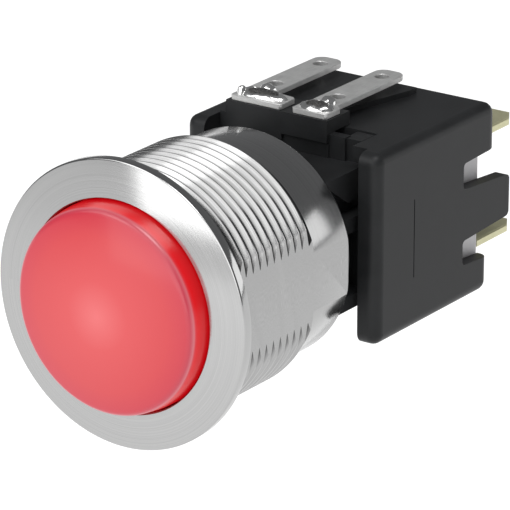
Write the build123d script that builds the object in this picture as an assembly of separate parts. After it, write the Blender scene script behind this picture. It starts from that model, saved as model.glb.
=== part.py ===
from build123d import *
import math
import os

# Illuminated panel-mount push button with two snap-action switch modules behind it.
# Millimetres. Origin: centre of the panel plane (rear face of the bezel's flange), on the button's axis.
# -Y is the operator's side, +Y runs back into the panel, +Z is up, towards the lamp's solder lugs.

# ---- Driving dimensions ----
# Bezel housing
FLANGE_R = 12.5
FLANGE_EDGE_Y = -0.92       # front of the flange's outer edge
FACE_INNER_Y = -1.32        # front of the cone, where it meets the lens
BORE_R = 9.2
THREAD_R = 11.0             # M22 x 1
THREAD_PITCH = 1.0
THREAD_DEPTH = 0.61
THREAD_LAND = 0.2
THREAD_TURNS = 12
UNDERCUT_END_Y = 0.6
BARREL_END_Y = 12.6
RING_R = 10.18
RING_END_Y = 17.83
BARREL_FLAT_X = 9.85
SEAL_INNER_R = 11.25
SEAL_OUTER_R = 12.05
SEAL_DEPTH = 0.45

# Button
TRAVEL = 1.6
LENS_R = 9.1
LENS_WALL = 1.1
LENS_TOP_Y = -4.15
LENS_EDGE_Y = -3.65         # where the dome meets the shoulder
LENS_EDGE_R = 7.7
LENS_SHOULDER_Y = -2.25
LENS_SKIRT_Y = 0.3
DIFFUSER_R = 7.8
DIFFUSER_FRONT_Y = -2.1
SLIDER_FRONT_Y = -1.45
SLIDER_R = 7.5
SLIDER_BORE_R = 6.3
SLIDER_END_Y = 15.0
SLIDER_LIP_R = 8.0
SLIDER_FLANGE_Y = 8.5
SLIDER_FLANGE_T = 1.0
RUNNING_GAP = 0.1
BUTTON_SEAL_Y = 0.35

# Guide sleeve
SLEEVE_R = 9.15
SLEEVE_FRONT_Y = 4.0
SLEEVE_STEP_Y = 14.2        # the slider's lip stops here
SLEEVE_WIDE_R = 8.2
SLEEVE_END_Y = 17.0

# Lamp
COLUMN_R = 2.2
BOARD_FRONT_Y = 3.2
BOARD_T = 0.8
BOARD_R = 5.6
LED_SIZE = 2.0
LED_T = 1.0
LED_PITCH_R = 3.3
LEAD_T = 0.5
LEAD_X = 0.7                # the pair's half spacing in the column
LEAD_RISE = {"left": -5.1, "right": 1.0}

# Carrier
PLATE_R = 8.6
PLATE_END_Y = 19.0
CORE_X = 5.9
CORE_Z = 6.2
CORE_END_Y = 25.6
RIB_X = 7.4
LEDGE_TOP_Z = 9.6
LEDGE_FRONT_Y = 24.3
LEDGE_END_Y = 27.8
LEDGE_LOW_Z = 7.6           # underside of its overhanging front corner

# Cover
COVER_X = 10.0
COVER_TOP_Z = 8.3
COVER_LOW_Z = -8.9
COVER_FRONT_Y = 22.0
COVER_END_Y = 41.0          # the upper part's rear end
COVER_LOW_END_Y = 39.8
COVER_INNER_X = 8.8
COVER_FRONT_WALL = 2.0
COVER_ROOF_T = 1.1
TONGUE_END_Y = 43.0
NOTCH_FRONT_Y = 35.5

# Solder lugs
LUG_T = 0.5
LUG_W = 2.8
LUG_FRONT_Y = 24.5
LUG_END_Y = 38.0
LUG_HOLE_R = 0.65
LUG_HOLE_Y = 36.1
LUG_EYE_R = 0.7
LUG_EYE_Y = 29.2
LUGS = {"left": -5.5, "right": 1.0}
PADS = {"left": (-7.0, -1.7), "right": (-0.6, 3.0)}     # wide front ends, under the solder
PAD_END_Y = 26.9

# Switch modules, drawn on the right (+X) side and mirrored for the left
CASE_X = (0.2, 8.65)
CASE_Y = (25.8, 40.2)
CASE_Z = (-6.6, 7.0)
CASE_WALL = 0.8
CASE_FRONT_WALL = 1.0
SWITCH_X = 4.45             # plunger, blade and contacts
PLUNGER_W = 1.4
PLUNGER_FRONT_Y = 24.0
PLUNGER_END_Y = 30.95
PLUNGER_NOSE_Z = (-0.5, -0.1)
TAB_T = 0.8
TAB_X = (3.7, 8.5)
TAB_END_Y = 46.4
TAB_COMMON_Z = 4.9
TAB_OPEN_Z = -5.1
STRIP_X = (3.3, 7.2)        # the tab's narrow stretch inside the case
BLADE_Y = 31.0
BLADE_T = 0.3
BLADE_W = 2.5
BLADE_PIVOT_Z = 5.6
BLADE_BEAD_R = 0.35
BLADE_LOW_Z = -4.1
CONTACT_Z = -3.6
CONTACT_R = 0.8
CONTACT_T = 0.4

os.makedirs("parts", exist_ok=True)


def save(shape, node):
    """Writes one sub-part."""
    export_step(shape, f"parts/{node}.step")


def block(x, y, z):
    """A box between two corners, each given as a (low, high) pair per axis."""
    size = (x[1] - x[0], y[1] - y[0], z[1] - z[0])
    middle = ((x[0] + x[1]) / 2, (y[0] + y[1]) / 2, (z[0] + z[1]) / 2)
    return Pos(*middle) * Box(*size)


def turned(points):
    """A solid turned about the button's axis, from (radius, y) points."""
    return revolve(make_face(Polyline(points, close=True)), Axis.Y)


def ring(inner_r, outer_r, y0, y1):
    """A plain ring about the button's axis."""
    return turned([(inner_r, y0), (outer_r, y0), (outer_r, y1), (inner_r, y1)])


def rod(radius, y0, y1, x=0.0, z=0.0):
    """A cylinder along Y."""
    return Pos(x, (y0 + y1) / 2, z) * Rot(90, 0, 0) * Cylinder(radius, y1 - y0)


def post(radius, z0, z1, x, y):
    """A cylinder along Z."""
    return Pos(x, y, (z0 + z1) / 2) * Cylinder(radius, z1 - z0)


def plate_x(points, x0, x1):
    """A plate between two x values, from (y, z) points."""
    outline = Plane.YZ.offset(x0) * make_face(Polyline(points, close=True))
    return extrude(outline, amount=x1 - x0, dir=(1, 0, 0))


def plate_z(points, z0, z1):
    """A plate between two z values, from (x, y) points."""
    outline = Plane.XY.offset(z0) * make_face(Polyline(points, close=True))
    return extrude(outline, amount=z1 - z0, dir=(0, 0, 1))


# ---- Bezel, seals and sleeve ----
def bezel_housing():
    """Turned steel housing: coned flange, threaded barrel with one flat, plain rear ring."""
    root_r = THREAD_R - THREAD_DEPTH
    flank = (THREAD_PITCH - THREAD_LAND) / 2
    profile = [
        (BORE_R, FACE_INNER_Y),
        (FLANGE_R - 0.25, FLANGE_EDGE_Y - 0.03),
        (FLANGE_R, FLANGE_EDGE_Y + 0.2),
        (FLANGE_R, 0.0),
        (SEAL_OUTER_R, 0.0),
        (SEAL_OUTER_R, -SEAL_DEPTH),
        (SEAL_INNER_R, -SEAL_DEPTH),
        (SEAL_INNER_R, 0.0),
        (root_r, 0.0),
        (root_r, UNDERCUT_END_Y),
    ]
    for turn in range(THREAD_TURNS):
        crest_y = UNDERCUT_END_Y + flank + turn * THREAD_PITCH
        profile.append((THREAD_R, crest_y))
        profile.append((THREAD_R, crest_y + THREAD_LAND))
        profile.append((root_r, crest_y + THREAD_LAND + flank))
    profile += [
        (RING_R, BARREL_END_Y + 0.1),
        (RING_R, RING_END_Y - 0.15),
        (RING_R - 0.15, RING_END_Y),
        (BORE_R, RING_END_Y),
    ]
    flat = block((BARREL_FLAT_X, FLANGE_R + 1), (0.0, RING_END_Y + 1), (-FLANGE_R, FLANGE_R))
    return turned(profile) - flat


def panel_seal():
    """Flat rubber ring, flush in the flange's rear groove."""
    return ring(SEAL_INNER_R, SEAL_OUTER_R, -SEAL_DEPTH, 0.0)


def guide_sleeve():
    """Plastic sleeve that the slider runs in, with a step that holds the slider's lip."""
    slide_r = SLIDER_R + RUNNING_GAP
    return turned([
        (slide_r, SLEEVE_FRONT_Y),
        (SLEEVE_R, SLEEVE_FRONT_Y),
        (SLEEVE_R, SLEEVE_END_Y),
        (SLEEVE_WIDE_R, SLEEVE_END_Y),
        (SLEEVE_WIDE_R, SLEEVE_STEP_Y),
        (slide_r, SLEEVE_STEP_Y),
    ])


# ---- Button ----
def lens_cap():
    """Translucent red cap: a shallow dome, a rounded shoulder and a straight skirt."""
    bulge_r = LENS_EDGE_R / 2
    bulge_y = LENS_TOP_Y + (LENS_EDGE_Y - LENS_TOP_Y) * 0.25
    corner_r = LENS_EDGE_R + (LENS_R - LENS_EDGE_R) * math.sqrt(0.5)
    corner_y = LENS_SHOULDER_Y + (LENS_EDGE_Y - LENS_SHOULDER_Y) * math.sqrt(0.5)
    inner_r = LENS_R - LENS_WALL
    outline = (
        ThreePointArc((0, LENS_TOP_Y), (bulge_r, bulge_y), (LENS_EDGE_R, LENS_EDGE_Y))
        + ThreePointArc((LENS_EDGE_R, LENS_EDGE_Y), (corner_r, corner_y), (LENS_R, LENS_SHOULDER_Y))
        + Polyline(
            (LENS_R, LENS_SHOULDER_Y),
            (LENS_R, LENS_SKIRT_Y),
            (inner_r, LENS_SKIRT_Y),
            (inner_r, LENS_SHOULDER_Y),
            (inner_r - 0.5, LENS_SHOULDER_Y - 0.4),
            (0, LENS_SHOULDER_Y - 0.75),
            (0, LENS_TOP_Y),
        )
    )
    return revolve(make_face(outline), Axis.Y)


def diffuser():
    """Thin frosted disc behind the lens."""
    return ring(0, DIFFUSER_R, DIFFUSER_FRONT_Y, SLIDER_FRONT_Y)


def button_slider():
    """Tube that carries the lens, with a retaining lip, a spring flange and two legs to the switches."""
    flange_y = SLIDER_FLANGE_Y + SLIDER_FLANGE_T
    tube = turned([
        (SLIDER_BORE_R, SLIDER_FRONT_Y),
        (SLIDER_R, SLIDER_FRONT_Y),
        (SLIDER_R, SLEEVE_STEP_Y + 0.05),
        (SLIDER_LIP_R, SLEEVE_STEP_Y + 0.05),
        (SLIDER_LIP_R, SLEEVE_STEP_Y + 0.4),
        (SLIDER_R, SLIDER_END_Y),
        (SLIDER_BORE_R, SLIDER_END_Y),
        (SLIDER_BORE_R, flange_y),
        (COLUMN_R + RUNNING_GAP, flange_y),
        (COLUMN_R + RUNNING_GAP, SLIDER_FLANGE_Y),
        (SLIDER_BORE_R, SLIDER_FLANGE_Y),
    ])
    for side in (-1, 1):
        leg_x = sorted((side * (SWITCH_X - 0.55), side * (SWITCH_X + 0.55)))
        tube += block(leg_x, (flange_y - 0.2, PLUNGER_FRONT_Y - 0.05), (-1.5, 1.5))
    return tube


def button_seal():
    """Rubber ring on the slider, just behind the lens's skirt."""
    mid_y = BUTTON_SEAL_Y + 0.5
    return turned([
        (SLIDER_R, BUTTON_SEAL_Y),
        (SLEEVE_R - 0.5, BUTTON_SEAL_Y),
        (SLEEVE_R, mid_y),
        (SLEEVE_R - 0.5, BUTTON_SEAL_Y + 1.0),
        (SLIDER_R, BUTTON_SEAL_Y + 1.0),
    ])


def return_spring():
    """Coil spring around the column, between the slider's flange and the carrier."""
    wire_r = 0.25
    coil_r = 2.75
    start_y = SLIDER_FLANGE_Y + SLIDER_FLANGE_T + wire_r + 0.05
    height = RING_END_Y - wire_r - 0.1 - start_y
    path = Helix(pitch=height / 6, height=height, radius=coil_r, center=(0, start_y, 0), direction=(0, 1, 0))
    section = Plane(path @ 0, z_dir=path % 0) * Circle(wire_r)
    return sweep(section, path=path, is_frenet=True)


# ---- Lamp ----
def led_board():
    """Round circuit board on the end of the carrier's column."""
    return ring(0, BOARD_R, BOARD_FRONT_Y, BOARD_FRONT_Y + BOARD_T)


def leds():
    """Four surface-mounted lamps on the board."""
    group = []
    for quarter in range(4):
        angle = math.radians(45 + 90 * quarter)
        x = LED_PITCH_R * math.cos(angle)
        z = LED_PITCH_R * math.sin(angle)
        lamp = Pos(x, BOARD_FRONT_Y - LED_T / 2, z) * Box(LED_SIZE, LED_T, LED_SIZE)
        group.append(lamp)
    return Compound(children=group)


def led_resistor():
    """Chip resistor in the middle of the board."""
    return Pos(0, BOARD_FRONT_Y - 0.3, 0) * Box(2.0, 0.6, 1.2)


def lead_path(side, gap):
    """Strip from the board back through the column and up to a solder lug, grown by a gap all round."""
    half = LEAD_T / 2 + gap
    x = -LEAD_X if side == "left" else LEAD_X
    lug_x = LEAD_RISE[side]
    back_y = 23.4
    cross_z = 5.2
    lug_y = 25.0
    across = sorted((x, lug_x))
    level = (cross_z - half, cross_z + half)
    along = block((x - half, x + half), (BOARD_FRONT_Y + BOARD_T, back_y + half), (-half, half))
    rise = block((x - half, x + half), (back_y - half, back_y + half), (-half, cross_z + half))
    turn = block((across[0] - half, across[1] + half), (back_y - half, back_y + half), level)
    back = block((lug_x - half, lug_x + half), (back_y - half, lug_y + half), level)
    up = block((lug_x - half, lug_x + half), (lug_y - half, lug_y + half), (cross_z - half, LEDGE_TOP_Z))
    return along + rise + turn + back + up


def lug(side):
    """Tinned solder lug: wide front pad, strip with a rounded tail, a wire hole and a locating eye."""
    x = LUGS[side]
    z = (LEDGE_TOP_Z, LEDGE_TOP_Z + LUG_T)
    half = LUG_W / 2
    strip = block((x - half, x + half), (LUG_FRONT_Y, LUG_END_Y), z)
    strip = fillet(strip.edges().filter_by(Axis.Z).sort_by(Axis.Y)[-2:], 1.0)
    strip += block(PADS[side], (LUG_FRONT_Y, PAD_END_Y), z)
    strip -= post(LUG_HOLE_R, z[0] - 1, z[1] + 1, x, LUG_HOLE_Y)
    strip -= post(LUG_EYE_R, z[0] - 1, z[1] + 1, x, LUG_EYE_Y)
    return strip


def solder_joints():
    """Low oval solder domes on the two lugs' pads."""
    top_z = LEDGE_TOP_Z + LUG_T
    middle_y = (LUG_FRONT_Y + PAD_END_Y) / 2
    group = []
    for low_x, high_x in PADS.values():
        reach = (high_x - low_x) / 2
        dome = scale(Sphere(1), by=(reach, 1.2, 0.75))
        dome &= block((-reach, reach), (-2, 2), (0, 2))
        group.append(Pos((low_x + high_x) / 2, middle_y, top_z) * dome)
    return Compound(children=group)


# ---- Carrier ----
def carrier_frame():
    """Plastic carrier: spigot ring, column for the lamp, ribbed core, and the lug ledge with its hook."""
    body = ring(SLIDER_R + RUNNING_GAP, SLEEVE_R, SLEEVE_END_Y, PLATE_END_Y)
    body += rod(PLATE_R, RING_END_Y, PLATE_END_Y)
    body += rod(COLUMN_R, BOARD_FRONT_Y + BOARD_T, RING_END_Y + 0.5)
    body += block((-CORE_X, CORE_X), (PLATE_END_Y - 0.5, CORE_END_Y), (-CORE_Z, CORE_Z))
    for side in (-1, 1):
        rib_x = sorted((side * (CORE_X - 0.5), side * RIB_X))
        post_x = sorted((side * (CORE_X - 0.5), side * (RIB_X - 0.7)))
        body += block(rib_x, (PLATE_END_Y - 0.6, CORE_END_Y), (1.1, 2.4))
        body += block(rib_x, (PLATE_END_Y - 0.6, CORE_END_Y), (-5.8, -4.5))
        body += block(post_x, (24.0, CORE_END_Y), (-5.8, 1.2))
        gusset = [(PLATE_END_Y - 0.5, CORE_Z), (CORE_END_Y, CORE_Z), (CORE_END_Y, 4.6), (22.6, 3.4)]
        body += plate_x(gusset, *post_x)
    body += block((-6.5, 3.2), (LEDGE_FRONT_Y + 0.3, CORE_END_Y), (CORE_Z - 0.5, LEDGE_LOW_Z + 0.5))
    body += block((-7.9, 3.2), (LEDGE_FRONT_Y, CORE_END_Y), (LEDGE_LOW_Z - 0.5, COVER_TOP_Z + 0.2))
    body += block((-7.3, 3.2), (LEDGE_FRONT_Y, LEDGE_END_Y), (COVER_TOP_Z + 0.1, LEDGE_TOP_Z))
    body -= block((-1.5, 3.3), (LEDGE_FRONT_Y - 0.1, LEDGE_FRONT_Y + 0.3), (LEDGE_LOW_Z - 1, LEDGE_LOW_Z))
    body += block((3.0, 4.8), (LEDGE_FRONT_Y + 0.4, CORE_END_Y), (CORE_Z - 0.5, COVER_TOP_Z))
    body += block((4.6, 6.3), (LEDGE_FRONT_Y + 1.0, 27.0), (7.3, COVER_TOP_Z - 0.1))
    body += block((4.6, 6.3), (LEDGE_FRONT_Y + 0.7, CORE_END_Y), (CORE_Z - 0.5, COVER_TOP_Z - 0.1))
    for side in (-1, 1):
        slot_x = sorted((side * (SWITCH_X - 0.75), side * (SWITCH_X + 0.75)))
        body -= block(slot_x, (SLEEVE_END_Y, CORE_END_Y + 1), (-1.7, 1.7))
    for side in LUGS:
        body -= lead_path(side, 0.1)
    return body


# ---- Cover ----
def cover_side():
    """Outline of the cover's side wall as (y, z) points, with two notches and a tongue at the rear."""
    return [
        (COVER_FRONT_Y, COVER_LOW_Z),
        (COVER_LOW_END_Y, COVER_LOW_Z),
        (COVER_LOW_END_Y, -5.75),
        (NOTCH_FRONT_Y, -5.44),
        (NOTCH_FRONT_Y, -3.2),
        (TONGUE_END_Y, -2.85),
        (TONGUE_END_Y, 0.95),
        (NOTCH_FRONT_Y, 1.57),
        (NOTCH_FRONT_Y, 3.94),
        (COVER_END_Y, 4.13),
        (COVER_END_Y, COVER_TOP_Z),
        (COVER_FRONT_Y, COVER_TOP_Z),
    ]


def round_corner(shape, y, z, radius):
    """Rounds the edge along X nearest to a point of the side outline."""
    edges = shape.edges().filter_by(Axis.X)
    nearest = edges.sort_by(lambda e: math.hypot(e.center().Y - y, e.center().Z - z))[0]
    return fillet(nearest, radius)


def terminal_cover():
    """Moulded cover around the switch modules: a roof and two side walls, open below and behind."""
    shell = plate_x(cover_side(), -COVER_X, COVER_X)
    long_edges = shell.edges().filter_by(Axis.Y).group_by(Axis.Z)[-1]
    shell = fillet(long_edges, 0.9)
    shell = round_corner(shell, COVER_END_Y, COVER_TOP_Z, 1.4)
    shell = round_corner(shell, COVER_FRONT_Y, COVER_LOW_Z, 1.0)
    shell = round_corner(shell, COVER_LOW_END_Y, COVER_LOW_Z, 1.0)
    for z in (-2.85, 0.95):
        shell = round_corner(shell, TONGUE_END_Y, z, 0.5)
    for z in (-5.44, -3.2, 1.57, 3.94):
        shell = round_corner(shell, NOTCH_FRONT_Y, z, 0.4)
    front_edges = [
        edge
        for edge in shell.edges().filter_by(Axis.Z).group_by(Axis.Y)[0]
        if abs(abs(edge.center().X) - COVER_X) < 0.01
    ]
    shell = fillet(front_edges, 1.0)
    room_y = (COVER_FRONT_Y - 1, TONGUE_END_Y + 1)
    room_z = (COVER_LOW_Z - 1, COVER_TOP_Z - COVER_ROOF_T)
    front_x = COVER_X - COVER_FRONT_WALL
    shell -= block((-front_x, front_x), room_y, room_z)
    shell -= block((-COVER_INNER_X, COVER_INNER_X), (CASE_Y[0] - 0.1, room_y[1]), room_z)
    shell -= block((-front_x, 6.5), (COVER_FRONT_Y - 1, 27.2), (5.0, COVER_TOP_Z + 1))
    shell -= block((-front_x, front_x), (COVER_FRONT_Y - 1, 23.4), (5.0, COVER_TOP_Z + 1))
    platform = [(-8.0, LEDGE_END_Y + 0.1), (0.7, LEDGE_END_Y + 0.1), (3.0, 37.5), (3.0, 38.6), (-8.0, 38.6)]
    shell += plate_z(platform, COVER_TOP_Z - 0.2, COVER_TOP_Z + 0.5)
    for side in (-1, 1):
        groove_x = sorted((side * (COVER_X - 0.08), side * (COVER_X + 1)))
        shell -= block(groove_x, (27.65, 27.77), (-4.15, 2.95))
    return shell


# ---- Switch modules ----
def switch_case():
    """Moulded case, open on its inner side, with a plunger hole, two strip slots and the blade's stop."""
    wall = CASE_WALL
    case = block(CASE_X, CASE_Y, CASE_Z)
    rear_edges = case.faces().sort_by(Axis.Y)[-1].edges()
    front_outer = case.edges().filter_by(Axis.Z).group_by(Axis.Y)[0].sort_by(Axis.X)[-1]
    case = fillet([*rear_edges, front_outer], 0.5)
    room_y = (CASE_Y[0] + CASE_FRONT_WALL, CASE_Y[1] - CASE_FRONT_WALL)
    room_z = (CASE_Z[0] + wall, CASE_Z[1] - wall)
    case -= block((CASE_X[0] - 1, CASE_X[1] - wall), room_y, room_z)
    half = PLUNGER_W / 2 + 0.05
    case -= block((SWITCH_X - half, SWITCH_X + half), (CASE_Y[0] - 1, room_y[0] + 1), (-half, half))
    for z in (TAB_COMMON_Z, TAB_OPEN_Z):
        case -= block(STRIP_X, (room_y[1] - 1, CASE_Y[1] + 1), (z - TAB_T / 2, z + TAB_T / 2))
    stop_x = (SWITCH_X - 1.0, CASE_X[1] - wall + 0.1)
    stop_y = (BLADE_Y - CONTACT_T - 1.0, BLADE_Y - CONTACT_T - 0.05)
    return case + block(stop_x, stop_y, (CONTACT_Z - CONTACT_R, CONTACT_Z + CONTACT_R))


def switch_lid():
    """Flat lid that closes the case's inner side."""
    y = (CASE_Y[0] + CASE_FRONT_WALL + 0.05, CASE_Y[1] - CASE_FRONT_WALL - 0.05)
    z = (CASE_Z[0] + CASE_WALL + 0.05, CASE_Z[1] - CASE_WALL - 0.05)
    return block((CASE_X[0], CASE_X[0] + CASE_WALL), y, z)


def tab(z, inner_y):
    """Quick-connect tab with chamfered tip, and its narrow strip forward to inner_y."""
    tip = 1.2
    outline = [
        (TAB_X[0], CASE_Y[1]),
        (TAB_X[1], CASE_Y[1]),
        (TAB_X[1], TAB_END_Y - tip),
        (TAB_X[1] - tip * 0.6, TAB_END_Y),
        (TAB_X[0] + tip * 0.6, TAB_END_Y),
        (TAB_X[0], TAB_END_Y - tip),
    ]
    blade = plate_z(outline, z - TAB_T / 2, z + TAB_T / 2)
    long_edges = blade.edges().filter_by(Axis.Y)
    blade = chamfer(long_edges, 0.15)
    return blade + block(STRIP_X, (inner_y, CASE_Y[1]), (z - TAB_T / 2, z + TAB_T / 2))


def terminal_common():
    """Common terminal, with the saddle behind the blade's rolled bead."""
    blade_x = (SWITCH_X - BLADE_W / 2 + 0.2, SWITCH_X + BLADE_W / 2 - 0.2)
    saddle_y = BLADE_Y + BLADE_T / 2 + BLADE_BEAD_R + 0.05
    strip = tab(TAB_COMMON_Z, 32.4)
    strip += block(blade_x, (32.4, 33.0), (TAB_COMMON_Z, BLADE_PIVOT_Z + BLADE_BEAD_R))
    return strip + block(blade_x, (saddle_y, 33.0), (BLADE_PIVOT_Z - 0.2, BLADE_PIVOT_Z + BLADE_BEAD_R))


def terminal_open():
    """Normally open terminal, with its fixed contact behind the blade."""
    strip = tab(TAB_OPEN_Z, 34.9)
    strip += block(STRIP_X, (34.9, 35.4), (TAB_OPEN_Z, CONTACT_Z + CONTACT_R))
    return strip + rod(CONTACT_R, 34.5, 34.95, SWITCH_X, CONTACT_Z)


def contact_blade():
    """Spring blade that rocks on its rolled bead and carries the moving contact."""
    side_x = (SWITCH_X - BLADE_W / 2, SWITCH_X + BLADE_W / 2)
    back_y = BLADE_Y + BLADE_T
    bead = Pos(SWITCH_X, BLADE_Y + BLADE_T / 2, BLADE_PIVOT_Z) * Rot(0, 90, 0) * Cylinder(BLADE_BEAD_R, BLADE_W)
    blade = block(side_x, (BLADE_Y, back_y), (BLADE_LOW_Z, BLADE_PIVOT_Z)) + bead
    return blade + rod(CONTACT_R, BLADE_Y - CONTACT_T, back_y + CONTACT_T, SWITCH_X, CONTACT_Z)


def switch_plunger():
    """Square plunger with a collar that keeps it in the case and a narrow nose that meets the blade."""
    half = PLUNGER_W / 2
    collar = half + 0.5
    collar_y = CASE_Y[0] + CASE_FRONT_WALL + 0.1
    side_x = (SWITCH_X - half, SWITCH_X + half)
    stem = block(side_x, (PLUNGER_FRONT_Y, PLUNGER_END_Y - 0.5), (-half, half))
    stem += block(side_x, (PLUNGER_END_Y - 0.6, PLUNGER_END_Y), PLUNGER_NOSE_Z)
    return stem + block((SWITCH_X - collar, SWITCH_X + collar), (collar_y, collar_y + 0.6), (-collar, collar))


save(bezel_housing(), "bezel_housing")
save(panel_seal(), "panel_seal")
save(guide_sleeve(), "guide_sleeve")
save(lens_cap(), "lens_cap")
save(diffuser(), "diffuser")
save(button_slider(), "button_slider")
save(button_seal(), "button_seal")
save(return_spring(), "return_spring")
save(led_board(), "led_board")
save(leds(), "leds")
save(led_resistor(), "led_resistor")
save(Compound(children=[lead_path(side, 0.0) for side in LUGS]), "led_leads")
for side in LUGS:
    save(lug(side), f"lug_{side}")
save(solder_joints(), "solder_joints")
save(carrier_frame(), "carrier_frame")
save(terminal_cover(), "terminal_cover")

SWITCH_PIECES = {
    "switch_case": switch_case,
    "switch_lid": switch_lid,
    "terminal_common": terminal_common,
    "terminal_open": terminal_open,
    "contact_blade": contact_blade,
    "switch_plunger": switch_plunger,
}
for name, make in SWITCH_PIECES.items():
    piece = make()
    save(piece, f"{name}_right")
    save(mirror(piece, about=Plane.YZ), f"{name}_left")
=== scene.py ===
"""Illuminated panel push button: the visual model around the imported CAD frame."""
import math

import bmesh
import bpy
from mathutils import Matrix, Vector, noise


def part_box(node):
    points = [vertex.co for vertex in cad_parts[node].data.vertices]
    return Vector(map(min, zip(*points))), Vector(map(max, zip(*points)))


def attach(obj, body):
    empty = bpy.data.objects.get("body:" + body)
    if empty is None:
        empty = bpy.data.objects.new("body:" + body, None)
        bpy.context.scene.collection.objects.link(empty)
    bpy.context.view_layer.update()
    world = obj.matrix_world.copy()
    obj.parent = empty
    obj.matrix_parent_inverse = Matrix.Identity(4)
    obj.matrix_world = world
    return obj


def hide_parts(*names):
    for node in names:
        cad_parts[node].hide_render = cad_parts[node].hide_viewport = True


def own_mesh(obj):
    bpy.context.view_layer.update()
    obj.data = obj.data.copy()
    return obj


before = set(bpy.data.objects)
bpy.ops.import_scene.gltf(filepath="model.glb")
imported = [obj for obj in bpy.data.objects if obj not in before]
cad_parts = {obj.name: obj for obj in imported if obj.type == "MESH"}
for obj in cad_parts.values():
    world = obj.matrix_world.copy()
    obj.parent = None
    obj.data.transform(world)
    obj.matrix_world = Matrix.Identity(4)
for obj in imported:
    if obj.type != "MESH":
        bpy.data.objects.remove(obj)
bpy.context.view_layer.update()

MM = 0.001
HOUSING = "housing"
BUTTON = "button"

# ---- Sizes, in millimetres, read from the frame where it has them ----
THREAD_PITCH = 1.0
THREAD_DEPTH = 0.6
THREAD_LAND = 0.16
THREAD_ROOT_LAND = 0.06
THREAD_START_Y = 0.35
THREAD_END_Y = 12.55
THREAD_RUN_IN = 0.5
THREAD_RUN_OUT = 0.55
ROOT_SHADE_R = (10.45, 10.8)     # painted shade: from the darkened thread roots to the unshaded flanks
FLAT_X = 9.85
BORE_R = 9.2
TURN_STEPS = 240
HOLE_STEPS = 28


def box_mm(node):
    """A CAD node's low and high corners in millimetres."""
    low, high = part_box(node)
    return Vector(low) / MM, Vector(high) / MM


steel_low, steel_high = box_mm("bezel_housing")
FLANGE_R = steel_high.x
THREAD_R = 11.0
RING_R = 10.18
RING_END_Y = steel_high.y
FACE_Y = steel_low.y
lens_low, lens_high = box_mm("lens_cap")
LENS_R = 9.1
LENS_TOP_Y = lens_low.y
LENS_SKIRT_Y = lens_high.y
DOME_DROP = 0.88            # from the lens's middle to the dome's edge
RIDGE_R = 0.6
# Lens bands in y: the blend from the dome's colour to the shoulder's, and the shoulder's run from painted
# reflection and highlight at the ridge to the red glow of the wall.
RIDGE_BLEND_Y = (-3.18, -3.03)
SHOULDER_GLOW_HIGHLIGHT_Y = (-3.1, -1.4)
LUG_TOP_Z = box_mm("lug_right")[1].z
LUG_X = {"left": -5.5, "right": 1.0}
LUG_HALF = 1.4
PAD_END_Y = 26.9
WIRE_HOLE = (36.1, 0.65)
EYE = (29.2, 0.7)
POOL_Y = 25.72
FLUX_Y = 25.8


# ---- Node helpers ----
class Nodes:
    """Short calls for building a material's node tree."""

    def __init__(self, tree):
        self.tree = tree

    def add(self, kind, **values):
        node = self.tree.nodes.new(kind)
        for name, value in values.items():
            setattr(node, name, value)
        return node

    def link(self, out, into):
        self.tree.links.new(out, into)

    def math(self, operation, a, b=None):
        node = self.add("ShaderNodeMath", operation=operation)
        for k, value in enumerate((a, b)):
            if value is None:
                continue
            if isinstance(value, (int, float)):
                node.inputs[k].default_value = value
            else:
                self.link(value, node.inputs[k])
        return node.outputs[0]

    def place(self):
        """Object coordinates in millimetres."""
        coords = self.add("ShaderNodeTexCoord")
        scale = self.add("ShaderNodeVectorMath", operation="SCALE")
        scale.inputs["Scale"].default_value = 1 / MM
        self.link(coords.outputs["Object"], scale.inputs[0])
        return scale.outputs[0]

    def stretched(self, vector, scale):
        """A vector scaled by a different amount on each axis."""
        node = self.add("ShaderNodeVectorMath", operation="MULTIPLY")
        node.inputs[1].default_value = scale
        self.link(vector, node.inputs[0])
        return node.outputs[0]

    def polar(self, vector):
        """(distance from the Y axis, y, angle) of a point."""
        parts = self.add("ShaderNodeSeparateXYZ")
        self.link(vector, parts.inputs[0])
        x, y, z = parts.outputs
        radius = self.math("SQRT", self.math("ADD", self.math("MULTIPLY", x, x), self.math("MULTIPLY", z, z)))
        angle = self.math("ARCTAN2", z, x)
        joined = self.add("ShaderNodeCombineXYZ")
        for k, value in enumerate((radius, y, angle)):
            self.link(value, joined.inputs[k])
        return joined.outputs[0], radius

    def noise(self, vector, scale, detail=4.0, rough=0.55):
        node = self.add("ShaderNodeTexNoise")
        node.inputs["Scale"].default_value = scale
        node.inputs["Detail"].default_value = detail
        node.inputs["Roughness"].default_value = rough
        self.link(vector, node.inputs["Vector"])
        return node.outputs["Fac"]

    def ramp(self, value, *stops):
        """A colour ramp from (position, colour) stops."""
        node = self.add("ShaderNodeValToRGB")
        for k, (at, colour) in enumerate(stops):
            element = node.color_ramp.elements[k] if k < 2 else node.color_ramp.elements.new(at)
            element.position = at
            element.color = (*colour, 1.0)
        self.link(value, node.inputs[0])
        return node.outputs[0]

    def mapped(self, value, start, end, low, high):
        """Maps start..end to low..high, held at both ends."""
        node = self.add("ShaderNodeMapRange")
        node.inputs["From Min"].default_value = start
        node.inputs["From Max"].default_value = end
        node.inputs["To Min"].default_value = low
        node.inputs["To Max"].default_value = high
        self.link(value, node.inputs["Value"])
        return node.outputs[0]

    def span(self, value, low, high):
        """Maps 0..1 to low..high."""
        return self.mapped(value, 0.0, 1.0, low, high)

    def bump(self, height, strength, distance_mm):
        node = self.add("ShaderNodeBump")
        node.inputs["Strength"].default_value = strength
        node.inputs["Distance"].default_value = distance_mm * MM
        self.link(height, node.inputs["Height"])
        return node.outputs[0]


def new_material(name):
    """An empty node material with its Principled shader."""
    made = bpy.data.materials.new(name)
    made.use_nodes = True
    nodes = Nodes(made.node_tree)
    shader = made.node_tree.nodes["Principled BSDF"]
    return made, nodes, shader


def shade(low, high):
    """Two colours as ramp stops."""
    return (0.3, low), (0.7, high)


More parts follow.
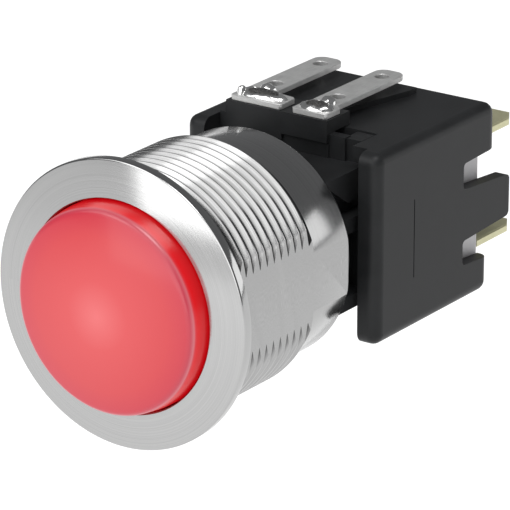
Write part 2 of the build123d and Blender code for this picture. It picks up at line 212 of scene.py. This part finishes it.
def turned_steel(name, light, dark, rough, paint_root_shade=False):
    """Turned steel: fine circular tool marks about the button's axis, and painted shade darkening the thread
    roots if asked.
    """
    made, nodes, shader = new_material(name)
    place = nodes.place()
    polar, radius = nodes.polar(place)
    marks = nodes.noise(nodes.stretched(polar, (34.0, 30.0, 0.35)), 1.0, 5.0, 0.6)
    cloud = nodes.noise(place, 0.35, 3.0)
    colour = nodes.ramp(marks, *shade((dark,) * 3, (light, light, light * 0.995)))
    if paint_root_shade:
        # Painted shade: the base colour darkens towards the thread roots, except on the plain ring behind the
        # thread and on the milled flat.
        parts = nodes.add("ShaderNodeSeparateXYZ")
        nodes.link(place, parts.inputs[0])
        behind = nodes.math("GREATER_THAN", parts.outputs[1], THREAD_END_Y)
        milled = nodes.math("GREATER_THAN", parts.outputs[0], FLAT_X - 0.02)
        plain = nodes.math("MAXIMUM", behind, milled)
        root_shade_scale = nodes.math("MAXIMUM", nodes.mapped(radius, *ROOT_SHADE_R, 0.22, 1.0), plain)
        shaded = nodes.add("ShaderNodeVectorMath", operation="SCALE")
        nodes.link(colour, shaded.inputs[0])
        nodes.link(root_shade_scale, shaded.inputs["Scale"])
        colour = shaded.outputs[0]
    nodes.link(colour, shader.inputs["Base Color"])
    mixed = nodes.math("ADD", nodes.math("MULTIPLY", marks, 0.7), nodes.math("MULTIPLY", cloud, 0.3))
    nodes.link(nodes.span(mixed, *rough), shader.inputs["Roughness"])
    nodes.link(nodes.bump(marks, 0.12, 0.01), shader.inputs["Normal"])
    shader.inputs["Metallic"].default_value = 1.0
    return made


def moulded_plastic(name, low, high, rough=(0.36, 0.5), grain=9.0, strength=0.12):
    """Moulded plastic: fine grain, faint flow clouds and a soft gloss."""
    made, nodes, shader = new_material(name)
    place = nodes.place()
    fine = nodes.noise(place, grain, 3.0)
    cloud = nodes.noise(place, 0.3, 4.0)
    nodes.link(nodes.ramp(cloud, *shade(low, high)), shader.inputs["Base Color"])
    nodes.link(nodes.span(cloud, *rough), shader.inputs["Roughness"])
    nodes.link(nodes.bump(fine, strength, 0.02), shader.inputs["Normal"])
    shader.inputs["Specular IOR Level"].default_value = 0.2
    return made


def stamped_metal(name, low, high, rough, metallic=1.0, along=(14.0, 0.9, 14.0)):
    """Rolled strip: faint lines along its length and dull patches."""
    made, nodes, shader = new_material(name)
    place = nodes.place()
    lines = nodes.noise(nodes.stretched(place, along), 1.0, 4.0)
    patches = nodes.noise(place, 0.8, 4.0)
    mixed = nodes.math("ADD", nodes.math("MULTIPLY", lines, 0.55), nodes.math("MULTIPLY", patches, 0.45))
    nodes.link(nodes.ramp(mixed, *shade(low, high)), shader.inputs["Base Color"])
    nodes.link(nodes.span(mixed, *rough), shader.inputs["Roughness"])
    nodes.link(nodes.bump(lines, 0.1, 0.01), shader.inputs["Normal"])
    shader.inputs["Metallic"].default_value = metallic
    return made


def melted_solder(name):
    """Bright solder: very smooth, with a faintly rippled skin."""
    made, nodes, shader = new_material(name)
    place = nodes.place()
    ripples = nodes.noise(place, 1.1, 2.0)
    colour = nodes.ramp(ripples, *shade((0.62, 0.62, 0.61), (0.85, 0.85, 0.84)))
    nodes.link(colour, shader.inputs["Base Color"])
    nodes.link(nodes.span(ripples, 0.1, 0.24), shader.inputs["Roughness"])
    nodes.link(nodes.bump(ripples, 0.3, 0.1), shader.inputs["Normal"])
    shader.inputs["Metallic"].default_value = 1.0
    return made


def flux_residue(name):
    """Dark, crusty flux left in the middle of a joint."""
    made, nodes, shader = new_material(name)
    crust = nodes.noise(nodes.place(), 7.0, 6.0, 0.75)
    colour = nodes.ramp(crust, (0.42, (0.006, 0.006, 0.006)), (0.72, (0.16, 0.155, 0.15)))
    nodes.link(colour, shader.inputs["Base Color"])
    nodes.link(nodes.span(crust, 0.25, 0.6), shader.inputs["Roughness"])
    nodes.link(nodes.bump(crust, 1.0, 0.12), shader.inputs["Normal"])
    return made


def lit_lens(name):
    """Translucent red lens, lit from behind: its glow is pink in the middle, partly a painted pale
    reflection, and deeper red towards its edge and side, with a painted purple-pink reflection at the dome's
    edge and a painted pink highlight along the ridge.
    """
    made, nodes, shader = new_material(name)
    place = nodes.place()
    radius = nodes.polar(place)[1]
    parts = nodes.add("ShaderNodeSeparateXYZ")
    nodes.link(place, parts.inputs[0])
    cloud = nodes.noise(place, 0.12, 2.0)
    reach = nodes.math("ADD", nodes.math("DIVIDE", radius, LENS_R), nodes.math("MULTIPLY", cloud, 0.04))
    # Emission across the dome: the red glow, pink in the middle partly as a painted pale reflection, with a
    # painted purple-pink reflection in the last stops at the dome's edge.
    face = nodes.ramp(
        reach,
        (0.0, (0.68, 0.175, 0.18)),
        (0.35, (0.57, 0.075, 0.08)),
        (0.75, (0.50, 0.045, 0.055)),
        (0.93, (0.43, 0.025, 0.05)),
        (1.0, (0.34, 0.04, 0.075)),
    )
    # Emission down the shoulder: a painted purple-pink reflection, then a painted pink highlight along the
    # ridge at 0.14, then the red glow through the wall.
    side = nodes.ramp(
        nodes.mapped(parts.outputs[1], *SHOULDER_GLOW_HIGHLIGHT_Y, 0.0, 1.0),
        (0.0, (0.34, 0.04, 0.075)),
        (0.14, (0.48, 0.15, 0.18)),
        (0.26, (0.58, 0.02, 0.03)),
        (0.4, (0.6, 0.0, 0.003)),
        (1.0, (0.4, 0.0, 0.002)),
    )
    mix = nodes.add("ShaderNodeMix", data_type="RGBA")
    nodes.link(nodes.mapped(parts.outputs[1], *RIDGE_BLEND_Y, 0.0, 1.0), mix.inputs["Factor"])
    nodes.link(face, mix.inputs["A"])
    nodes.link(side, mix.inputs["B"])
    nodes.link(mix.outputs["Result"], shader.inputs["Emission Color"])
    shader.inputs["Emission Strength"].default_value = 0.88
    shader.inputs["Base Color"].default_value = (0.2, 0.004, 0.006, 1.0)
    nodes.link(nodes.span(cloud, 0.26, 0.34), shader.inputs["Roughness"])
    shader.inputs["Coat Weight"].default_value = 0.25
    shader.inputs["Coat Roughness"].default_value = 0.12
    return made


# ---- Mesh helpers ----
def finish_mesh(piece_name, mesh_data, material, body, sharp_deg=32.0):
    """Turns a bmesh in millimetres into a shaded piece that rides on a body."""
    bmesh.ops.recalc_face_normals(mesh_data, faces=mesh_data.faces)
    for face in mesh_data.faces:
        face.smooth = True
    limit = math.radians(sharp_deg)
    for edge in mesh_data.edges:
        edge.smooth = len(edge.link_faces) == 2 and edge.calc_face_angle(0.0) < limit
    bmesh.ops.scale(mesh_data, vec=(MM, MM, MM), verts=mesh_data.verts)
    mesh = bpy.data.meshes.new(piece_name)
    mesh_data.to_mesh(mesh)
    mesh_data.free()
    piece = bpy.data.objects.new(piece_name, mesh)
    bpy.context.scene.collection.objects.link(piece)
    mesh.materials.append(material)
    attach(piece, body)
    return piece


def turned_point(radius, y, angle):
    return Vector((radius * math.cos(angle), y, radius * math.sin(angle)))


def lathe(mesh_data, profile, steps=TURN_STEPS, closed=True):
    """Turns (radius, y) points about the Y axis. A point with no radius closes the end."""
    columns = []
    poles = {k: mesh_data.verts.new((0, y, 0)) for k, (r, y) in enumerate(profile) if r < 1e-6}
    for i in range(steps):
        angle = 2 * math.pi * i / steps
        columns.append([
            poles.get(k) or mesh_data.verts.new(turned_point(r, y, angle)) for k, (r, y) in enumerate(profile)
        ])
    rows = len(profile) if closed else len(profile) - 1
    for i in range(steps):
        here, there = columns[i], columns[(i + 1) % steps]
        for k in range(rows):
            m = (k + 1) % len(profile)
            corners = []
            for vert in (here[k], here[m], there[m], there[k]):
                if vert not in corners:
                    corners.append(vert)
            if len(corners) > 2:
                mesh_data.faces.new(corners)


def arc_points(centre, radius, start_deg, end_deg, count):
    """Points on an arc in the (radius, y) plane."""
    found = []
    for k in range(count + 1):
        angle = math.radians(start_deg + (end_deg - start_deg) * k / count)
        found.append((centre[0] + radius * math.cos(angle), centre[1] + radius * math.sin(angle)))
    return found


# ---- Steel housing ----
def flange(mesh_data):
    """Coned flange with softly broken edges and the seal's groove behind."""
    seal_low, seal_high = box_mm("panel_seal")
    edge = 0.16
    cone_edge_y = -0.95
    profile = [(BORE_R, FACE_Y + 0.1), (BORE_R + 0.1, FACE_Y)]
    profile += arc_points((FLANGE_R - edge, cone_edge_y + edge + 0.02), edge, -86, 0, 5)
    profile += arc_points((FLANGE_R - 0.08, -0.08), 0.08, 0, 90, 3)
    profile += [
        (seal_high.x, 0.0),
        (seal_high.x, seal_low.y),
        (seal_high.x - 0.8, seal_low.y),
        (seal_high.x - 0.8, 0.0),
        (BORE_R, 0.0),
    ]
    lathe(mesh_data, profile)


def thread_share(y):
    """Share of full thread depth at y: it runs in behind the flange and out at the ring."""
    run_in = min(1.0, max(0.0, (y - THREAD_START_Y) / THREAD_RUN_IN))
    run_out = min(1.0, max(0.0, (THREAD_END_Y - y) / THREAD_RUN_OUT))
    return min(run_in, run_out)


def barrel(mesh_data):
    """Tube with a helical thread, a plain ring behind it and a flat milled along one side.

    The helix is left-handed, while the thread that it stands for is right-handed.
    """
    start_y, end_y = THREAD_START_Y, THREAD_END_Y
    root_r = THREAD_R - THREAD_DEPTH
    flank = (THREAD_PITCH - THREAD_LAND - THREAD_ROOT_LAND) / 2
    section = [
        (0.0, THREAD_R - 0.03),
        (THREAD_LAND * 0.15, THREAD_R),
        (THREAD_LAND * 0.85, THREAD_R),
        (THREAD_LAND, THREAD_R - 0.03),
        (THREAD_LAND + flank, root_r),
        (THREAD_LAND + flank + THREAD_ROOT_LAND, root_r),
    ]
    turns = int(end_y - start_y) + 2
    tail = [
        (RING_R, end_y + 0.12),
        (RING_R, RING_END_Y - 0.22),
        (RING_R - 0.06, RING_END_Y - 0.08),
        (RING_R - 0.2, RING_END_Y),
        (BORE_R, RING_END_Y),
        (BORE_R, -0.3),
        (root_r, -0.3),
    ]
    columns = []
    for i in range(TURN_STEPS + 1):
        angle = 2 * math.pi * i / TURN_STEPS
        advance = THREAD_PITCH * i / TURN_STEPS
        column = []
        for turn in range(-1, turns):
            for offset, radius in section:
                y = start_y + turn * THREAD_PITCH + offset - advance + THREAD_PITCH
                cut_r = root_r + (radius - root_r) * thread_share(y)
                y = min(end_y, max(start_y, y))
                column.append(mesh_data.verts.new(turned_point(cut_r, y, -angle)))
        for radius, y in tail:
            column.append(mesh_data.verts.new(turned_point(radius, y, -angle)))
        columns.append(column)
    for here, there in zip(columns, columns[1:]):
        for k in range(len(here)):
            m = (k + 1) % len(here)
            mesh_data.faces.new((here[k], here[m], there[m], there[k]))
    bmesh.ops.remove_doubles(mesh_data, verts=mesh_data.verts, dist=1e-4)
    bmesh.ops.dissolve_degenerate(mesh_data, edges=mesh_data.edges, dist=1e-4)
    whole = list(mesh_data.verts) + list(mesh_data.edges) + list(mesh_data.faces)
    bmesh.ops.bisect_plane(
        mesh_data, geom=whole, dist=1e-5, plane_co=(FLAT_X, 0, 0), plane_no=(1, 0, 0), clear_outer=True
    )
    rim = [edge for edge in mesh_data.edges if len(edge.link_faces) == 1]
    bmesh.ops.holes_fill(mesh_data, edges=rim, sides=0)


def make_housing(steel, threaded):
    """Flange and barrel, each a closed shell of one turned piece."""
    front = bmesh.new()
    flange(front)
    bezel = finish_mesh("bezel_flange", front, steel, HOUSING, 24)
    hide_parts("bezel_housing")
    rear = bmesh.new()
    barrel(rear)
    finish_mesh("threaded_barrel", rear, threaded, HOUSING, 24)


# ---- Lens ----
def lens_profile():
    """Dome, rounded ridge, slightly tapered wall and the hollow behind, as (radius, y) points."""
    wall_foot_y = -1.1
    ridge_r = LENS_R - 0.22 - RIDGE_R
    dome_edge_y = LENS_TOP_Y + DOME_DROP
    dome = []
    for k in range(15):
        radius = (ridge_r - 0.1) * k / 14
        dome.append((radius, LENS_TOP_Y + DOME_DROP * (radius / ridge_r) ** 2.2))
    profile = dome
    profile += arc_points((ridge_r, dome_edge_y + RIDGE_R + 0.02), RIDGE_R, -76, -4, 8)
    profile += [
        (LENS_R - 0.12, -1.9),
        (LENS_R, wall_foot_y),
        (LENS_R, LENS_SKIRT_Y),
        (LENS_R - 1.1, LENS_SKIRT_Y),
        (LENS_R - 1.1, -2.25),
        (LENS_R - 1.6, -2.65),
        (0.0, -2.95),
    ]
    return profile


def make_lens(material):
    data = bmesh.new()
    lathe(data, lens_profile())
    lens = finish_mesh("lens_dome", data, material, BUTTON, 40)
    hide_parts("lens_cap")


# ---- Return spring ----
def make_spring(material):
    """Round-wire coil with closed ends; it stays as built and is not squashed as the button goes in."""
    low, high = box_mm("return_spring")
    wire = 0.25
    coil = high.x - wire
    start, end = low.y + wire, high.y - wire
    turns, sides, per_turn = 8, 10, 40
    data = bmesh.new()
    rings = []
    count = turns * per_turn
    for k in range(count + 1):
        share = k / count
        rise = min(1.0, max(0.0, (share * turns - 1) / (turns - 2)))
        y = start + (end - start) * rise
        angle = 2 * math.pi * turns * share
        across = Vector((math.cos(angle), 0, math.sin(angle)))
        centre = across * coil + Vector((0, y, 0))
        ring = []
        for s in range(sides):
            turn = 2 * math.pi * s / sides
            outward = across * math.cos(turn) + Vector((0, 1, 0)) * math.sin(turn)
            ring.append(data.verts.new(centre + outward * wire))
        rings.append(ring)
    for here, there in zip(rings, rings[1:]):
        for s in range(sides):
            t = (s + 1) % sides
            data.faces.new((here[s], here[t], there[t], there[s]))
    data.faces.new(rings[0])
    data.faces.new(rings[-1])
    spring = finish_mesh("return_coil", data, material, HOUSING, 50)
    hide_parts("return_spring")
    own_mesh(spring)


# ---- Solder lugs ----
def lug_outline(side, low, high, steps=8):
    """Wide front pad and a strip with a rounded tail, as (x, y) points."""
    x, corner = LUG_X[side], 1.0
    left, right = x - LUG_HALF, x + LUG_HALF
    points = [
        (low.x, low.y + 0.2),
        (low.x + 0.2, low.y),
        (high.x - 0.2, low.y),
        (high.x, low.y + 0.2),
        (high.x, PAD_END_Y - 0.3),
        (high.x - 0.3, PAD_END_Y),
        (right, PAD_END_Y + 0.2),
    ]
    for centre_x, start in ((right - corner, 0.0), (left + corner, math.pi / 2)):
        for k in range(steps + 1):
            angle = start + math.pi / 2 * k / steps
            points.append((centre_x + corner * math.cos(angle), high.y - corner + corner * math.sin(angle)))
    return points + [(left, PAD_END_Y + 0.1), (low.x, PAD_END_Y - 0.1)]


def hole_loop(centre_x, centre_y, radius):
    """A round hole's edge, as (x, y) points."""
    points = []
    for k in range(HOLE_STEPS):
        angle = 2 * math.pi * k / HOLE_STEPS
        points.append((centre_x + radius * math.cos(angle), centre_y + radius * math.sin(angle)))
    return points


def flat_piece(data, outline, holes, low_z, high_z, edge=0.05):
    """A sheet-metal piece from an outline and round holes, with broken edges."""
    loops = [(outline, 1)] + [(hole_loop(*hole), -1) for hole in holes]
    levels = ((low_z, edge), (low_z + edge, 0.0), (high_z - edge, 0.0), (high_z, edge))
    for z, inset in levels[::3]:
        edges = []
        for points, way in loops:
            verts = [data.verts.new((*p, z)) for p in inset_loop(points, inset * way)]
            edges += [data.edges.new((verts[k], verts[(k + 1) % len(verts)])) for k in range(len(verts))]
        bmesh.ops.triangle_fill(data, use_beauty=True, edges=edges)
    for points, way in loops:
        stack = [[data.verts.new((*p, z)) for p in inset_loop(points, inset * way)] for z, inset in levels]
        for lower, upper in zip(stack, stack[1:]):
            for k in range(len(lower)):
                m = (k + 1) % len(lower)
                data.faces.new((lower[k], lower[m], upper[m], upper[k]))
    bmesh.ops.remove_doubles(data, verts=data.verts, dist=1e-4)


def inset_loop(points, amount):
    """A closed outline moved inwards by an amount, along the mean normal at each point."""
    moved = []
    area = sum(a[0] * b[1] - b[0] * a[1] for a, b in zip(points, points[1:] + points[:1]))
    side = 1 if area > 0 else -1
    for k, point in enumerate(points):
        before, after = Vector(points[k - 1]), Vector(points[(k + 1) % len(points)])
        along = (after - before).normalized()
        moved.append(tuple(Vector(point) + Vector((-along.y, along.x)) * side * amount))
    return moved


def make_lugs(material):
    for side, x in LUG_X.items():
        low, high = box_mm(f"lug_{side}")
        data = bmesh.new()
        flat_piece(data, lug_outline(side, low, high), ((x, *WIRE_HOLE), (x, *EYE)), low.z, high.z)
        lug = finish_mesh(f"solder_lug_{side}", data, material, HOUSING, 40)
        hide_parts(f"lug_{side}")


def lumpy(point, size, seed):
    """A smooth random offset."""
    return noise.noise(point * size + Vector((seed, seed * 0.7, 0.0)))


def dome_patch(data, x, y, rx, ry, height, seed, hollow=0.0, steps=44, rings=14):
    """A low lump on the lug: its height falls to nothing at an uneven edge, and its middle may be hollow."""
    top = data.verts.new((x, y, LUG_TOP_Z + height * (1 - hollow)))
    previous = None
    for ring in range(1, rings + 1):
        share = ring / rings
        current = []
        for k in range(steps):
            angle = 2 * math.pi * k / steps
            wave = 1 + 0.16 * lumpy(Vector((math.cos(angle), math.sin(angle), 0)), 1.6, seed)
            px = x + rx * share * wave * math.cos(angle)
            py = y + ry * share * wave * math.sin(angle)
            rise = math.sqrt(max(0.0, 1 - share ** 2.4)) - hollow * max(0.0, 1 - (share / 0.72) ** 3)
            rough = 1 + 0.35 * lumpy(Vector((px, py, 0)), 1.5, seed + 3)
            current.append(data.verts.new((px, py, LUG_TOP_Z + max(0.0, height * rise * rough) - 0.02)))
        for k in range(steps):
            m = (k + 1) % steps
            if previous is None:
                data.faces.new((top, current[k], current[m]))
            else:
                data.faces.new((previous[k], current[k], current[m], previous[m]))
        previous = current
    data.faces.new(previous)


def make_solder(solder, flux):
    """Solder pools with a raised rim around dark flux, a bead behind each and a drawn-out tip on the left."""
    top = box_mm("solder_joints")[1].z - LUG_TOP_Z
    left_x, right_x = LUG_X["left"], LUG_X["right"]
    data = bmesh.new()
    dome_patch(data, left_x + 1.15, POOL_Y, 2.45, 1.12, top * 0.72, 1.3, hollow=0.75)
    dome_patch(data, left_x - 0.75, 25.2, 0.45, 0.45, top * 0.95, 8.8)
    dome_patch(data, left_x + 0.7, 27.0, 0.75, 0.75, top * 0.85, 4.1)
    dome_patch(data, right_x + 0.2, POOL_Y, 1.65, 1.12, top * 0.72, 7.7, hollow=0.75)
    dome_patch(data, right_x + 0.45, 27.1, 0.7, 0.8, top * 0.85, 2.4)
    pools = finish_mesh("solder_pools", data, solder, HOUSING, 60)
    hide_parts("solder_joints")
    data = bmesh.new()
    dome_patch(data, left_x + 1.15, FLUX_Y, 1.95, 0.92, top * 0.68, 5.5)
    dome_patch(data, right_x + 0.2, FLUX_Y, 1.35, 0.94, top * 0.68, 9.2)
    finish_mesh("flux_residue", data, flux, HOUSING, 60)


# ---- CAD nodes that keep their shape ----
def paint(node, material, bevel_mm=0.0, segments=2):
    """Gives a CAD node its material, and breaks its sharp edges."""
    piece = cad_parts[node]
    piece.data.materials.clear()
    piece.data.materials.append(material)
    if bevel_mm:
        bevel = piece.modifiers.new("broken_edges", "BEVEL")
        bevel.width = bevel_mm * MM
        bevel.segments = segments
        bevel.limit_method = "ANGLE"
        bevel.angle_limit = math.radians(35)
        bevel.harden_normals = False
        bevel.use_clamp_overlap = True


def paint_frame(materials):
    paint("carrier_frame", materials["black"], 0.08)
    paint("terminal_cover", materials["black"], 0.12, 3)
    paint("panel_seal", materials["rubber"])
    paint("button_seal", materials["rubber"])
    paint("guide_sleeve", materials["black"])
    paint("button_slider", materials["white"])
    paint("diffuser", materials["frosted"])
    paint("led_board", materials["board"])
    paint("leds", materials["lamp"], 0.1)
    paint("led_resistor", materials["ceramic"], 0.05)
    paint("led_leads", materials["tinned"])
    for side in ("left", "right"):
        paint(f"switch_case_{side}", materials["grey"], 0.15, 3)
        paint(f"switch_lid_{side}", materials["grey"], 0.08)
        paint(f"switch_plunger_{side}", materials["red"], 0.06)
        paint(f"contact_blade_{side}", materials["spring_brass"], 0.03)
        for tab in ("common", "open"):
            paint(f"terminal_{tab}_{side}", materials["brass"], 0.05)


# ---- Stage ----
def make_stage():
    """Pale floor, soft lights and the camera."""
    floor_material, nodes, shader = new_material("pale_floor")
    soft = nodes.noise(nodes.place(), 0.01, 2.0)
    nodes.link(nodes.ramp(soft, *shade((0.3, 0.3, 0.3), (0.32, 0.32, 0.32))), shader.inputs["Base Color"])
    shader.inputs["Roughness"].default_value = 0.9
    shader.inputs["Emission Color"].default_value = (1, 1, 1, 1)
    shader.inputs["Emission Strength"].default_value = 0.92
    bpy.ops.mesh.primitive_plane_add(size=4.0, location=(0, 0, -0.045))
    floor = bpy.context.object
    floor.name = "floor"
    floor.data.materials.append(floor_material)

    world = bpy.data.worlds.new("studio")
    bpy.context.scene.world = world
    world.use_nodes = True
    world.node_tree.nodes["Background"].inputs[0].default_value = (0.19, 0.192, 0.196, 1)
    world.node_tree.nodes["Background"].inputs[1].default_value = 1.0

    def softbox(name, azimuth, elevation, distance, width, height, power):
        """An area light aimed at the object. Azimuth 0 is in front, positive to the right."""
        a, e = math.radians(azimuth), math.radians(elevation)
        out = Vector((math.sin(a) * math.cos(e), -math.cos(a) * math.cos(e), math.sin(e)))
        light = bpy.data.lights.new(name, "AREA")
        light.shape = "RECTANGLE"
        light.size = width
        light.size_y = height
        light.energy = power
        holder = bpy.data.objects.new(name, light)
        holder.location = Vector((0.0, 0.015, 0.0)) + out * distance
        holder.rotation_mode = "QUATERNION"
        holder.rotation_quaternion = out.to_track_quat("Z", "Y")
        bpy.context.scene.collection.objects.link(holder)

    softbox("front_box", 0, 22, 0.19, 0.23, 0.205, 0.28)
    softbox("upper_left_box", -38, 42, 0.22, 0.14, 0.12, 0.1)
    softbox("right_back_box", 138, 9, 0.7, 0.4, 0.2, 0.4)
    softbox("top_box", 40, 70, 0.8, 0.4, 0.4, 3.2)

    camera = bpy.data.cameras.new("camera")
    camera.lens = 312.5
    camera.sensor_width = 36.0
    camera.clip_start = 0.01
    camera.clip_end = 10.0
    azimuth, elevation, distance = math.radians(35.05), math.radians(20.16), 368.3
    target = Vector((4.69, 11.57, 1.64))
    back = Vector((
        math.sin(azimuth) * math.cos(elevation),
        -math.cos(azimuth) * math.cos(elevation),
        math.sin(elevation),
    ))
    holder = bpy.data.objects.new("camera", camera)
    holder.location = (target + back * distance) * MM
    holder.rotation_mode = "QUATERNION"
    holder.rotation_quaternion = (-back).to_track_quat("-Z", "Y")
    bpy.context.scene.collection.objects.link(holder)
    bpy.context.scene.camera = holder
    bpy.context.scene.view_settings.view_transform = "Standard"


materials = {
    "steel": turned_steel("steel", 0.45, 0.37, (0.07, 0.14)),
    # The threaded barrel's steel has painted shade in its thread roots.
    "threaded": turned_steel("threaded_steel", 0.42, 0.3, (0.1, 0.22), paint_root_shade=True),
    "black": moulded_plastic("black_plastic", (0.013, 0.0136, 0.0143), (0.02, 0.0208, 0.0218)),
    "rubber": moulded_plastic("black_rubber", (0.012, 0.012, 0.012), (0.02, 0.02, 0.02), (0.6, 0.75)),
    "white": moulded_plastic("white_plastic", (0.7, 0.7, 0.68), (0.78, 0.78, 0.76)),
    "frosted": moulded_plastic("frosted_disc", (0.8, 0.55, 0.53), (0.85, 0.62, 0.6), (0.5, 0.6)),
    "board": moulded_plastic("board_mask", (0.72, 0.72, 0.7), (0.8, 0.8, 0.78), (0.25, 0.35)),
    "lamp": moulded_plastic("lamp_body", (0.8, 0.12, 0.1), (0.9, 0.2, 0.16), (0.1, 0.2)),
    "ceramic": moulded_plastic("dark_ceramic", (0.03, 0.03, 0.03), (0.06, 0.06, 0.06)),
    "grey": moulded_plastic("grey_plastic", (0.56, 0.55, 0.56), (0.64, 0.63, 0.64)),
    "red": moulded_plastic("red_plastic", (0.42, 0.03, 0.025), (0.5, 0.05, 0.04)),
    "tinned": stamped_metal("tinned_metal", (0.44, 0.44, 0.435), (0.64, 0.64, 0.63), (0.35, 0.5), 0.5),
    "brass": stamped_metal("brass_strip", (0.54, 0.52, 0.31), (0.68, 0.66, 0.44), (0.3, 0.45), 0.6),
    "spring_brass": stamped_metal("spring_brass", (0.6, 0.42, 0.2), (0.72, 0.52, 0.28), (0.2, 0.3)),
    "wire": stamped_metal("spring_wire", (0.45, 0.45, 0.45), (0.6, 0.6, 0.6), (0.15, 0.25)),
    "solder": melted_solder("solder"),
    "flux": flux_residue("flux"),
    "lens": lit_lens("lit_lens"),
}

make_stage()
paint_frame(materials)
make_housing(materials["steel"], materials["threaded"])
make_lens(materials["lens"])
make_spring(materials["wire"])
make_lugs(materials["tinned"])
make_solder(materials["solder"], materials["flux"])
